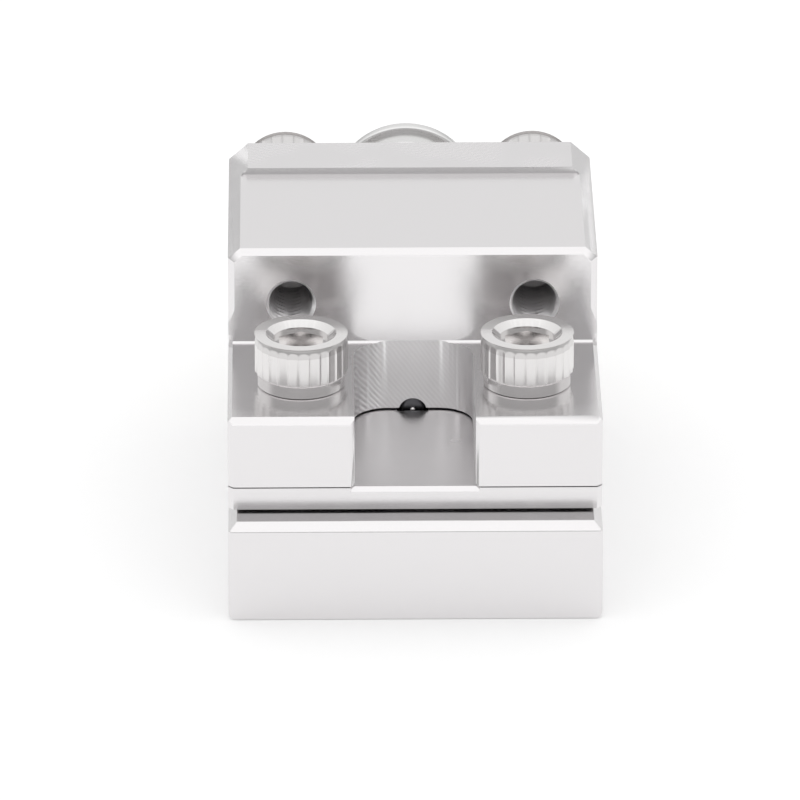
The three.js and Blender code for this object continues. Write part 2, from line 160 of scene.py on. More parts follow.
def hull(points):
    """The convex solid around a few points."""
    shape = bmesh.new()
    for p in points:
        shape.verts.new(p)
    found = bmesh.ops.convex_hull(shape, input=shape.verts)
    bmesh.ops.delete(shape, geom=[v for v in found["geom_interior"] if v.is_valid], context="VERTS")
    bmesh.ops.recalc_face_normals(shape, faces=shape.faces)
    data = bpy.data.meshes.new("shape")
    shape.to_mesh(data)
    shape.free()
    obj = bpy.data.objects.new("shape", data)
    scene.collection.objects.link(obj)
    return obj


def turned(profile, segments=ROUND, radius=None, closed=False):
    """A body of revolution about Z from [radius, height] points. radius(r, h, angle) may vary it."""
    rings = []
    for r, h in profile:
        ring = []
        for k in range(segments):
            angle = 2 * pi * k / segments
            reach = radius(r, h, angle) if radius else r
            ring.append((reach * cos(angle), reach * sin(angle), h))
        rings.append(ring)
    return loft(rings, closed)


def bar(radius, low, high, chamfer=0.0, segments=ROUND):
    if not chamfer:
        return turned([(radius, low), (radius, high)], segments)
    edge = radius - chamfer
    return turned([(edge, low), (radius, low + chamfer), (radius, high - chamfer), (edge, high)], segments)


def moved(obj, x=0, y=0, z=0, matrix=None):
    obj.data.transform(Matrix.Translation((x, y, z)) @ (matrix or Matrix()))
    return obj


ALONG_DEPTH = Matrix.Rotation(-pi / 2, 4, "X")


def along_depth(obj, x, z):
    """Turns a solid made about Z so that its Z runs back along Y."""
    return moved(obj, x, 0, z, ALONG_DEPTH)


def rod(radius, low, high, x, z, segments=ROUND):
    return along_depth(bar(radius, low, high, 0, segments), x, z)


def post(radius, low, high, side, where):
    """An upright bar at a place that both sides share."""
    return moved(bar(radius, low, high), side * where["x"], where["depth"])


def settle(obj):
    """Turns the object's modifiers into its mesh."""
    bpy.context.view_layer.update()
    graph = bpy.context.evaluated_depsgraph_get()
    data = bpy.data.meshes.new_from_object(obj.evaluated_get(graph))
    obj.modifiers.clear()
    obj.data = data
    return obj


def combine(body, operation, tools):
    for tool in tools:
        step = body.modifiers.new("combine", "BOOLEAN")
        step.operation = operation
        step.solver = "EXACT"
        step.object = tool
    settle(body)
    for tool in tools:
        bpy.data.objects.remove(tool)
    return body


def cut(body, *tools):
    return combine(body, "DIFFERENCE", tools)


def arc(x, y, radius, start, stop, steps):
    angles = [radians(start + (stop - start) * k / steps) for k in range(steps + 1)]
    return [(x + radius * cos(a), y + radius * sin(a)) for a in angles]


def edge_y(side, x, z, size, low, high):
    """The strip that a 45 degree chamfer takes off an edge along Y, at (side * x, z)."""
    out = size * 2
    corners = [(x - size, z), (x, z - size), (x + out, z - size), (x + out, z + out), (x - size, z + out)]
    return prism([(side * u, v) for u, v in corners], "y", low, high)


def edge_x(y, z, size, low, high):
    """The same along X, with the material behind and below the edge at (y, z)."""
    out = size * 2
    corners = [(y + size, z), (y + size, z + out), (y - out, z + out), (y - out, z - size), (y, z - size)]
    return prism(corners, "x", low, high)


def edge_z(side, x, y, size, low, high, outward=1):
    """The same along Z, open to the front and to one side, at (side * x, y)."""
    out = size * 2
    corners = [(x - outward * size, y), (x - outward * size, y - out), (x + outward * out, y - out),
               (x + outward * out, y + size), (x, y + size)]
    return prism([(side * u, v) for u, v in corners], "z", low, high)


def thread(core, crest, pitch, low, high, segments=56, rows=8, run_out=0.0):
    """A screw thread about Z: one rounded ridge that climbs one pitch a turn."""
    def radius(r, h, angle):
        phase = (h / pitch - angle / (2 * pi)) % 1
        ridge = min(1, max(0, 1.35 * (1 - abs(2 * phase - 1)) - 0.12))
        fade = 1.0 if not run_out else min(1, (h - low) / run_out, (high - h) / run_out)
        return core + (crest - core) * ridge * max(0, fade)
    count = max(2, round((high - low) / pitch * rows))
    profile = [(crest, low + (high - low) * i / count) for i in range(count + 1)]
    return turned(profile, segments, radius)


# ---- materials ----
class Recipe:
    """A metal built up node by node. Lengths in the patterns are in millimetres."""

    def __init__(self, name, colour, roughness, anisotropic=0.0):
        self.material = bpy.data.materials.new(name)
        self.material.use_nodes = True
        self.nodes = self.material.node_tree.nodes
        self.links = self.material.node_tree.links
        self.shader = self.nodes["Principled BSDF"]
        self.shader.inputs["Metallic"].default_value = 1.0
        self.shader.inputs["Anisotropic"].default_value = anisotropic
        self.colour = colour
        self.roughness = roughness
        self.height = None
        place = self.add("ShaderNodeTexCoord")
        scaled = self.add("ShaderNodeVectorMath", operation="SCALE", Vector=place.outputs["Object"])
        scaled.inputs["Scale"].default_value = 1 / MM
        self.place = scaled.outputs[0]
        self.axes = self.add("ShaderNodeSeparateXYZ", Vector=self.place).outputs

    def add(self, kind, **wanted):
        node = self.nodes.new(kind)
        for key, value in wanted.items():
            if key in node.inputs:
                self.feed(node.inputs[key], value)
            else:
                setattr(node, key, value)
        return node

    def feed(self, socket, value):
        if isinstance(value, bpy.types.NodeSocket):
            self.links.new(value, socket)
        else:
            socket.default_value = value

    def math(self, operation, *values):
        node = self.nodes.new("ShaderNodeMath")
        node.operation = operation
        for socket, value in zip(node.inputs, values):
            self.feed(socket, value)
        return node.outputs[0]

    def total(self, *terms):
        """A sum of (weight, output) terms."""
        result = None
        for weight, value in terms:
            part = self.math("MULTIPLY", value, weight)
            result = part if result is None else self.math("ADD", result, part)
        return result

    def noise(self, stretch, scale=1.0, detail=3.0):
        """Noise about a mean of a half, drawn out by dividing each axis by its stretch."""
        mapped = self.add("ShaderNodeVectorMath", operation="MULTIPLY", Vector=self.place)
        mapped.inputs[1].default_value = [1 / s for s in stretch]
        return self.add("ShaderNodeTexNoise", Vector=mapped.outputs[0], Scale=scale, Detail=detail).outputs[0]

    def smooth(self, value, low, high):
        node = self.add("ShaderNodeMapRange", interpolation_type="SMOOTHSTEP", Value=value)
        node.inputs["From Min"].default_value = low
        node.inputs["From Max"].default_value = high
        return node.outputs[0]

    def ripple(self, distance, pitch):
        """A fine wave along a distance, from 0 to 1."""
        turn = self.math("MULTIPLY", distance, 2 * pi / pitch)
        return self.total((0.5, self.math("ADD", self.math("SINE", turn), 1.0)))

    def rings(self, x, y, pitch):
        """Circles about an upright axis through (x, y)."""
        across = self.math("SUBTRACT", self.axes[0], x)
        along = self.math("SUBTRACT", self.axes[1], y)
        squares = self.math("ADD", self.math("MULTIPLY", across, across), self.math("MULTIPLY", along, along))
        return self.ripple(self.math("SQRT", squares), pitch)

    def finish(self, tone, shine, height, depth):
        """tone and shine vary colour and roughness about their means; height is a relief depth mm deep."""
        low = [c * (1 - tone[1]) for c in self.colour] + [1]
        high = [min(1, c * (1 + tone[1])) for c in self.colour] + [1]
        mix = self.add("ShaderNodeMix", data_type="RGBA")
        self.feed(mix.inputs[0], tone[0])
        self.feed(mix.inputs[6], low)
        self.feed(mix.inputs[7], high)
        self.links.new(mix.outputs[2], self.shader.inputs["Base Color"])
        rough = self.add("ShaderNodeMapRange", Value=shine[0])
        rough.inputs["To Min"].default_value = max(0.02, self.roughness - shine[1])
        rough.inputs["To Max"].default_value = self.roughness + shine[1]
        self.links.new(rough.outputs[0], self.shader.inputs["Roughness"])
        bump = self.add("ShaderNodeBump", Height=height)
        bump.inputs["Strength"].default_value = 1.0
        bump.inputs["Distance"].default_value = depth * MM
        self.links.new(bump.outputs[0], self.shader.inputs["Normal"])
        return self.material


def satin(name, colour, roughness, stretch, depth=0.0006, tone=0.025):
    """Ground or finely milled metal, with faint lines along the stretched axis."""
    recipe = Recipe(name, colour, roughness)
    lines = recipe.noise(stretch, scale=9.0, detail=4.0)
    cloud = recipe.noise((1, 1, 1), scale=0.35, detail=2.0)
    mixed = recipe.total((0.6, lines), (0.4, cloud))
    return recipe.finish((mixed, tone), (cloud, 0.05), lines, depth)


def cutter_land(name, colour, roughness):
    """The raised land, with the overlapping curved marks of a face mill."""
    recipe = Recipe(name, colour, roughness)
    wobble = recipe.noise((6, 6, 6), 1.0, 1.0)
    front = FRONT / MM
    left = recipe.rings(-6.5, front + 57, pitch=0.55)
    middle = recipe.rings(1.5, front + 60, pitch=0.62)
    right = recipe.rings(-16, front + 52, pitch=0.58)
    patch = recipe.smooth(wobble, 0.4, 0.6)
    arcs = recipe.total((0.45, left), (0.3, middle), (0.25, right))
    marks = recipe.math("MULTIPLY", arcs, recipe.total((0.7, patch), (0.5, wobble)))
    fine = recipe.noise((0.5, 2, 1), 6.0, 3.0)
    relief = recipe.total((0.95, marks), (0.05, fine))
    return recipe.finish((relief, 0.05), (relief, 0.06), relief, 0.004)


def cutter_wall(name, colour, roughness):
    """The wall of the seat, with slanting marks that are deepest in its left corner and low down."""
    recipe = Recipe(name, colour, roughness)
    across, up = recipe.axes[0], recipe.axes[2]
    wobble = recipe.noise((4, 4, 4), 1.0, 2.0)
    slant = recipe.total((0.6, up), (0.8, across), (0.5, wobble))
    lines = recipe.ripple(slant, pitch=0.36)
    corner = recipe.smooth(across, -2.2, -3.4)
    low = recipe.math("MULTIPLY", recipe.smooth(up, 15.5, 12.5), recipe.smooth(across, 3.5, 0.5))
    faint = recipe.smooth(across, 5.2, 2.4)
    strength = recipe.total((0.62, corner), (0.25, low), (0.22, faint))
    marks = recipe.math("MULTIPLY", strength, lines)
    relief = recipe.total((0.92, marks), (0.08, recipe.noise((1, 1, 1), 8.0, 2.0)))
    return recipe.finish((marks, 0.12), (wobble, 0.06), relief, 0.035)


def lathed(name, colour, roughness, axis, pitch=0.09, depth=0.0008, tone=0.03):
    """Turned metal, with tool marks square to the axis it was turned about."""
    recipe = Recipe(name, colour, roughness)
    wobble = recipe.noise((1, 1, 1), 0.8, 2.0)
    shifted = recipe.math("ADD", recipe.axes[axis], recipe.total((0.02, wobble)))
    marks = recipe.ripple(shifted, pitch)
    grain = recipe.noise((0.3, 0.3, 0.3), 1.0, 3.0)
    relief = recipe.total((0.6, marks), (0.4, grain))
    return recipe.finish((recipe.total((0.5, marks), (0.5, wobble)), tone), (grain, 0.05), relief, depth)


ALUMINIUM = (0.79, 0.775, 0.78)
BLOCK = satin("block_satin", ALUMINIUM, 0.24, (8, 0.25, 0.25))
BLOCK_LEDGE = satin("block_ledge", ALUMINIUM, 0.19, (0.3, 8, 0.3))
# The wall's face is a lighter copy of the block's aluminium: painted light. Its finer grain and lower
# roughness are the real finish.
BLOCK_WALL_PAINTED_LIGHT = satin("block_wall_painted_light", (0.82, 0.805, 0.81), 0.17, (8, 0.1, 0.1), 0.002)
# The seat floor is a lighter copy of the aluminium: painted light on the plate's top. Its grain along the
# depth and its roughness are the real finish.
SEAT_FLOOR_PAINTED_LIGHT = satin("seat_floor_painted_light", (0.84, 0.825, 0.83), 0.3, (0.35, 8, 0.35))
BLOCK_LAND = cutter_land("land_milled", ALUMINIUM, 0.27)
# The seat's wall is a much lighter copy of the aluminium: painted light in the recess. The slanting cutter
# marks and roughness are real.
BLOCK_POCKET_PAINTED_LIGHT = cutter_wall("seat_wall_milled_painted_light", (0.96, 0.945, 0.95), 0.46)
# The thread inside the tapped holes is a lighter copy of the aluminium: painted light standing in for
# highlights in the hole.
THREAD_PAINTED_LIGHT = satin("thread_cut_painted_light", (0.88, 0.865, 0.87), 0.32, (0.4, 0.4, 0.4), 0.002, 0.06)
PLATED = satin("screw_plating", (0.80, 0.785, 0.78), 0.13, (0.6, 0.6, 0.6), 0.0012, 0.04)
# The head's top is a darker copy of the same plating: painted shade. Its higher roughness is real.
PLATED_TOP_PAINTED_SHADE = satin("screw_plating_top_painted_shade", (0.66, 0.645, 0.64), 0.3, (0.6, 0.6, 0.6), 0.0016, 0.05)
PLATED_FLUTES = satin("screw_plating_flutes", (0.78, 0.765, 0.76), 0.3, (0.6, 0.6, 0.6), 0.0016, 0.05)
KNOB_METAL = lathed("knob_turned", (0.78, 0.775, 0.77), 0.2, 1)
# Black: the real finish of the black screws, and painted shade where it is put on the stop rod.
DARK = satin("screw_black_and_painted_shade", (0.16, 0.16, 0.17), 0.35, (0.5, 0.5, 0.5), 0.002, 0.08)
GROUND_DEPTH = lathed("steel_ground_depth", (0.62, 0.61, 0.61), 0.22, 1, 0.05)
GROUND_UP = lathed("steel_ground_upright", (0.62, 0.61, 0.61), 0.22, 2, 0.05)
WIRE = satin("steel_wire", (0.5, 0.49, 0.49), 0.3, (0.4, 0.4, 0.4), 0.002, 0.06)
BRASS = lathed("bush_turned", (0.78, 0.60, 0.30), 0.24, 1, 0.12, 0.0012)


# ---- pieces ----
BLOCK_PLACE = Matrix.Translation((0, FRONT, 0)) @ Matrix.Scale(MM, 4)


SHARP_ANGLE = 38
LEVEL = 0.99999
LARGE_FACE = 0.5


def place(obj, name, node, body, slot, materials, pick=None, edge=0.05, edge_angle=28, place_at=None):
    """Breaks the edges, shades the shape, gives it its materials and puts it on its body.

    Large faces square to an axis keep one flat normal, so that reflections in them stay straight.
    """
    obj.name = name
    if edge:
        bevel = obj.modifiers.new("edges", "BEVEL")
        bevel.width = edge
        bevel.segments = 2
        bevel.limit_method = "ANGLE"
        bevel.angle_limit = radians(edge_angle)
        bevel.use_clamp_overlap = True
        settle(obj)
    data = obj.data
    data.name = name
    data.materials.clear()
    for material in materials:
        data.materials.append(material)
    for face in data.polygons:
        face.material_index = pick(face.center, face.normal) if pick else 0
    data.set_sharp_from_angle(angle=radians(SHARP_ANGLE))
    for face in data.polygons:
        level = max(abs(share) for share in face.normal) > LEVEL
        face.use_smooth = not (level and face.area > LARGE_FACE)
    weighted = obj.modifiers.new("normals", "WEIGHTED_NORMAL")
    weighted.keep_sharp = True
    settle(obj)
    obj.data.transform(BLOCK_PLACE @ (place_at or Matrix()))
    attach(obj, body)
    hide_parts(node)
    return obj


def faces_up(centre, normal):
    """The second material for a piece's top, the first for the rest."""
    return 1 if normal.z > 0.9 else 0


def base_block():
    bottom, top, front_edge, upright_edge = 0.4, 0.8, 0.75, 0.25
    screw_hole_floor = 1.6
    dowel_floor = DOWEL["bottom"] - DOWEL_FIT["floor"]
    plate_screw_hole = PLATE_SCREW["radius"] + PLATE_SCREW_FIT["side"]
    plate_screw_floor = PLATE_SCREW["bottom"] - PLATE_SCREW_FIT["floor"]
    x, z = HALF, BASE_TOP
    outline = [(bottom - x, 0), (x - bottom, 0), (x, bottom), (x, z - top), (x - top, z), (top - x, z),
               (-x, z - top), (-x, bottom)]
    body = prism(outline, "y", 0, BASE_HIGH.y)
    tools = [edge_x(0, z, front_edge, -2 * x, 2 * x)]
    for side in SIDES:
        tools += [
            post(SCREW_HOLE_RADIUS, screw_hole_floor, z + PAST, side, FRONT_SCREW),
            post(DOWEL["radius"] + DOWEL_FIT["base"], dowel_floor, z + PAST, side, DOWEL),
            post(plate_screw_hole, plate_screw_floor, z + PAST, side, PLATE_SCREW),
            edge_z(side, x, 0, upright_edge, -PAST, z + PAST)]
    cut(body, *tools)
    place(body, "base_block_finished", "base_block", "base", "block_aluminium", [BLOCK, BLOCK_LEDGE],
          faces_up, 0.06)


def seat_plate():
    inset, overlap = 1.6, 0.5
    front_edge, corner_edge = 0.4, 0.5
    low, high = SEAT_LOW, SEAT_HIGH
    body = box((-HALF, HALF), (low.y, high.y), (SEAT_UNDERSIDE, high.z))
    foot = box((inset - HALF, HALF - inset), (low.y + inset, high.y - inset),
               (low.z, SEAT_UNDERSIDE + overlap))
    combine(body, "UNION", [foot])
    mouth = POCKET_HALF + 0.36
    tools = [
        edge_x(low.y, high.z, front_edge, -mouth, mouth),
        rod(GROOVE_RADIUS, POCKET_BACK - 0.1, BODY_DEPTH, 0, BORE_HEIGHT),
        box((-NOTCH_HALF_WIDTH, NOTCH_HALF_WIDTH), (CHAMBER_DEPTH, BODY_DEPTH), (0, high.z + PAST))]
    shank, head = (PLATE_SCREW[part] + PLATE_SCREW_FIT["side"] for part in ("radius", "head"))
    for side in SIDES:
        sink = turned([(shank, 0), (shank, high.z - PLATE_SCREW_FIT["sink"]),
                       (head, high.z - PLATE_SCREW_FIT["rim"]), (head, high.z + PAST)])
        tools += [
            edge_z(side, HALF, low.y, corner_edge, 0, high.z + PAST),
            post(SCREW_HOLE_RADIUS, 0, high.z + PAST, side, FRONT_SCREW),
            post(DOWEL["radius"] + DOWEL_FIT["plate"], 0, high.z + PAST, side, DOWEL),
            moved(sink, side * PLATE_SCREW["x"], PLATE_SCREW["depth"])]
    cut(body, *tools)
    # The plate's top faces take the lighter floor copy: painted light.
    place(body, "seat_plate_finished", "seat_plate", "base", "block_aluminium", [BLOCK, SEAT_FLOOR_PAINTED_LIGHT],
          faces_up, 0.03)


def jaw_outline():
    """The front view of the rear block, with its sloping top edges."""
    x, z = HALF, JAW_TOP
    right = [(x, 0), (x, z - BEVEL_HEIGHT), (x - BEVEL_WIDTH, z)]
    return right + [(-u, v) for u, v in reversed(right)]


def pocket_outline(spread):
    """The seat's plan: open to the front, flat at the back, with round corners."""
    flat_end, side_end = POCKET_HALF - POCKET_CORNER, POCKET_BACK - POCKET_CORNER
    reach, radius = POCKET_HALF + spread, POCKET_CORNER + spread
    corners = arc(flat_end, side_end, radius, 0, 90, 32) + arc(-flat_end, side_end, radius, 90, 180, 32)
    return [(-reach, LIP - 1), (reach, LIP - 1)] + corners


def land_recess():
    """What is cut away in front of the raised land, down to the shoulder, with a steep step behind."""
    step = JAW_TOP - SHOULDER_TOP
    corner, lean, steps = 0.7, 0.1, 8
    half_land = HALF - BEVEL_WIDTH + step * BEVEL_WIDTH / BEVEL_HEIGHT + 0.1
    rear = RAISED_DEPTH - lean

    def recess(spread):
        right = arc(half_land - corner, rear - corner, corner + spread, 0, 90, steps)
        left = arc(corner - half_land, rear - corner, corner + spread, 90, 180, steps)
        return [(half_land + spread, WALL_DEPTH - 2)] + right + left + [(-half_land - spread, WALL_DEPTH - 2)]
    return loft([[(u, v, SHOULDER_TOP) for u, v in recess(0)],
                 [(u, v, JAW_TOP + PAST) for u, v in recess(lean * (step + PAST) / step)]])


def slope_edge(side, chamfer):
    """The chamfer down the wall's sloping edge, half forward and half out along the slope."""
    lift = 1.0
    slope = hypot(BEVEL_WIDTH, BEVEL_HEIGHT)
    slant_x, slant_z = BEVEL_HEIGHT / slope, BEVEL_WIDTH / slope
    start = Vector((side * HALF, WALL_DEPTH, JAW_TOP - BEVEL_HEIGHT))
    run = Vector((-side * slant_z, 0, slant_x))
    out = Vector((side * slant_x, 0, slant_z))
    forward, back = Vector((0, -lift, 0)), Vector((0, chamfer, 0))
    rim = []
    for reach in (-1.5, 4.0):
        at = start + run * reach
        rim += [at + back, at - out * chamfer, at + forward - out * chamfer, at + back + out * lift,
                at + forward + out * lift]
    return hull(rim)


def wall_edge(side):
    """The chamfer down the wall's upright edge, which runs out above the ledge."""
    size, climb = 0.6, 1.5
    low, top = LEDGE_TOP + 1.8, JAW_TOP + PAST
    corners = [(HALF - 2 * size, WALL_DEPTH - size), (HALF + size, WALL_DEPTH + 2 * size),
               (HALF + size, WALL_DEPTH - size)]
    points = []
    for u, v in corners:
        share = ((HALF - u) + (v - WALL_DEPTH)) / size
        points += [(side * u, v, low + climb * share), (side * u, v, top)]
    return hull(points)


def tapped_hole(side):
    """A blind hole in the wall: a short thread, its countersunk mouth and the plain bore behind."""
    x, z = side * TAPPED_HOLE["x"], TAPPED_HOLE["height"]
    threaded, crest, sink = 9, 0.06, 0.15
    wall = WALL_DEPTH
    ridges = thread(HOLE_CORE, HOLE_MOUTH + crest, COARSE_PITCH, wall - 0.5, wall + threaded)
    mouth = turned([(HOLE_MOUTH + 2 * sink, wall - 2 * sink), (HOLE_MOUTH - sink, wall + sink)])
    return [along_depth(ridges, x, z), along_depth(mouth, x, z),
            rod(HOLE_MOUTH, wall + threaded - 0.2, TAPPED_HOLE["end"], x, z, 64)]


def upper_body_material(centre, normal):
    """Which of the upper body's materials a face takes, from its place and the way it faces."""
    near_hole = hypot(abs(centre.x) - TAPPED_HOLE["x"], centre.z - TAPPED_HOLE["height"]) < HOLE_MOUTH + 0.12
    if near_hole and centre.y > WALL_DEPTH + 0.02:
        return 5
    if normal.z > 0.9 and centre.z > JAW_TOP - 0.1:
        return 4
    if abs(normal.z) < 0.3 and JAW_BOTTOM + 0.1 < centre.z < LEDGE_TOP and centre.y > LIP + 0.5:
        if abs(centre.x) < POCKET_HALF + 0.05 and centre.y < POCKET_BACK + 0.05:
            return 3
    if normal.y < -0.9 and WALL_DEPTH - 0.1 < centre.y < WALL_DEPTH + 0.1:
        return 2
    if normal.z > 0.9 and centre.z < LEDGE_TOP + 0.1:
        return 1
    return 0


def upper_body():
    body = prism([(u, v if v else JAW_BOTTOM) for u, v in jaw_outline()], "y", WALL_DEPTH, BODY_DEPTH)
    fillet, inside = 0.18, WALL_DEPTH + 1
    ledge = [(LIP, JAW_BOTTOM), (inside, JAW_BOTTOM), (inside, LEDGE_TOP + fillet),
             (WALL_DEPTH, LEDGE_TOP + fillet), (WALL_DEPTH - fillet, LEDGE_TOP), (LIP, LEDGE_TOP)]
    combine(body, "UNION", [prism(ledge, "x", -HALF, HALF)])

    top_chamfer, ledge_chamfer, side_chamfer, corner_chamfer, mouth_chamfer = 0.55, 0.61, 0.4, 0.5, 0.38
    undercut, undercut_height = 0.2, 0.15
    beyond = BODY_DEPTH + PAST
    tools = [land_recess(), edge_x(WALL_DEPTH, SHOULDER_TOP, top_chamfer, -2 * HALF, 2 * HALF)]
    for side in SIDES:
        tools += [slope_edge(side, top_chamfer), wall_edge(side)]
    tools += [
        prism(pocket_outline(0), "z", 0, LEDGE_TOP + PAST),
        loft([[(u, v, JAW_BOTTOM - 0.05) for u, v in pocket_outline(undercut)],
              [(u, v, JAW_BOTTOM + undercut_height) for u, v in pocket_outline(0)]]),
        edge_x(LIP, LEDGE_TOP, ledge_chamfer, -2 * HALF, 2 * HALF),
        rod(BORE_RADIUS, POCKET_BACK - 1, beyond, 0, BORE_HEIGHT, 64),
        rod(CHAMBER_RADIUS, CHAMBER_DEPTH, beyond, 0, BORE_HEIGHT, 64)]
    for side in SIDES:
        tools += [
            edge_y(side, HALF, LEDGE_TOP, side_chamfer, 0, WALL_DEPTH),
            edge_z(side, HALF, LIP, corner_chamfer, 0, LEDGE_TOP + PAST),
            edge_z(side, POCKET_HALF, LIP, mouth_chamfer, 0, LEDGE_TOP + PAST, -1),
            post(SCREW_HOLE_RADIUS, 0, LEDGE_TOP + PAST, side, FRONT_SCREW),
            post(DOWEL["radius"] + DOWEL_FIT["plate"], 0, DOWEL["top"] + DOWEL_FIT["roof"], side, DOWEL),
            post(SPRING_POCKET["radius"], 0, SPRING_POCKET["top"], side, DOWEL)]
        tools += tapped_hole(side)
        tools += [rod(SCREW_HOLE_RADIUS, BODY_DEPTH - REAR_SCREW["length"], beyond, side * REAR_SCREW["x"],
                      REAR_SCREW["height"], 64)]
    cut(body, *tools)
    # The wall, seat wall and thread materials here are lighter copies of the block's aluminium: painted
    # light.
    place(body, "upper_body_finished", "upper_body", "upper_jaw", "block_aluminium",
          [BLOCK, BLOCK_LEDGE, BLOCK_WALL_PAINTED_LIGHT, BLOCK_POCKET_PAINTED_LIGHT, BLOCK_LAND, THREAD_PAINTED_LIGHT], upper_body_material, 0.05, 32)


def rear_plate():
    corner, bush_hole = PLATE_CORNER, 3.53
    half, low, high = PLATE_HIGH.x - corner, PLATE_LOW.z + corner, PLATE_HIGH.z - corner
    outline = []
    for x, z, start in ((half, low, -90), (half, high, 0), (-half, high, 90), (-half, low, 180)):
        outline += arc(x, z, corner, start, start + 90, 16)
    body = prism(outline, "y", PLATE_LOW.y, PLATE_HIGH.y)
    front, back = PLATE_LOW.y - PAST, PLATE_HIGH.y + PAST
    tools = [rod(bush_hole, front, back, 0, BORE_HEIGHT)]
    for side in SIDES:
        tools.append(rod(SCREW_HOLE_RADIUS, front, back, side * REAR_SCREW["x"], REAR_SCREW["height"]))
    cut(body, *tools)
    place(body, "rear_plate_finished", "rear_plate", "upper_jaw", "block_aluminium", [BLOCK], None, 0.18, 50)


def cap_screw(name, node, body, length, place_at):
    """A socket cap screw about Z, its head up from height 0, with fluted sides and a hexagon socket."""
    flutes, flute_depth = 27, 0.1
    head_radius, band_radius, flat_radius = 4.25, 3.98, 3.78
    height, band, knurl_low = 5.0, 1.15, 1.3
    shoulder_x, shoulder_z = head_radius - flat_radius, 1.1

    def radius(r, h, angle):
        if h < knurl_low - 0.001 or h > height - 0.001:
            return r
        across = 2 * (flutes * angle / (2 * pi) % 1) - 1
        fluted = head_radius - flute_depth * (1 - across ** 4)
        lower = (h - knurl_low) / 0.12
        if lower < 1:
            fluted -= 0.09 * (1 - lower)
        climb = (h - (height - shoulder_z)) / shoulder_z
        if climb <= 0:
            return fluted
        return min(fluted, flat_radius + shoulder_x * sqrt(max(0, 1 - climb * climb)))

    profile = [(band_radius - 0.1, 0.02), (band_radius, 0.12), (band_radius, band),
               (band_radius + 0.02, band + 0.08)]
    profile += [(head_radius, knurl_low + 0.04 * i) for i in range(4)]
    profile += [(head_radius, height - shoulder_z - 0.02)]
    profile += [(head_radius, height - shoulder_z + shoulder_z * sin(pi / 2 * i / 16)) for i in range(1, 17)]
    head = turned(profile, flutes * 14, radius)
    turns = [(k + 0.5) * pi / 3 for k in range(6)]
    hexagon = [(SOCKET_CORNER * cos(a), SOCKET_CORNER * sin(a)) for a in turns]
    socket = prism(hexagon, "z", height - 2.6, height + PAST)
    mouth = turned([(2.53, height - 0.85), (2.53, height - 0.52), (3.33, height + 0.1)])
    drill = turned([(0.05, height - 3.3), (2.0, height - 2.5)], 48)
    cut(head, socket, mouth, drill)
    core = 2.05
    shank = turned([(core - 0.35, -length), (core, -length + 0.35), (core, -0.3), (SCREW_RADIUS, -0.1),
                    (SCREW_RADIUS, 0.1)], 56)
    ridges = thread(core - 0.02, SCREW_RADIUS, COARSE_PITCH, -length + 0.2, -0.6, run_out=0.5)
    combine(head, "UNION", [shank, ridges])

    def pick(centre, normal):
        mouth_radius = 3.2
        if centre.z < band + 0.15 or hypot(centre.x, centre.y) < mouth_radius:
            return 0
        # The rounded top of the head takes the darker plating copy: painted shade.
        return 2 if centre.z < height - shoulder_z * 0.9 else 1
    materials = [PLATED, PLATED_TOP_PAINTED_SHADE, PLATED_FLUTES]
    place(head, name, node, body, "plated_screw", materials, pick, 0.035, 40, place_at)


def tube(profile, segments=ROUND, radius=None):
    """A turned ring: the profile runs round its whole section, outside and bore."""
    return turned(profile, segments, radius, closed=True)


def spindle_bush():
    low, high = BUSH_LOW.y, BUSH_HIGH.y
    flange_low = PLATE_HIGH.y + 0.02
    flange_high = flange_low + 1.3
    bore = 2.06
    body = tube([(bore + 0.25, low), (3.5, low), (3.5, flange_low), (4.4, flange_low),
                 (4.6, flange_low + 0.2), (4.6, flange_high - 0.2), (4.4, flange_high), (3.5, flange_high),
                 (3.4, flange_high + 0.1), (3.4, high - 0.3), (3.1, high), (bore + 0.25, high),
                 (bore, high - 0.25), (bore, low + 0.25)])
    along_depth(body, 0, BORE_HEIGHT)
    place(body, "spindle_bush_finished", "spindle_bush", "upper_jaw", "bush_brass", [BRASS], None, 0.04)


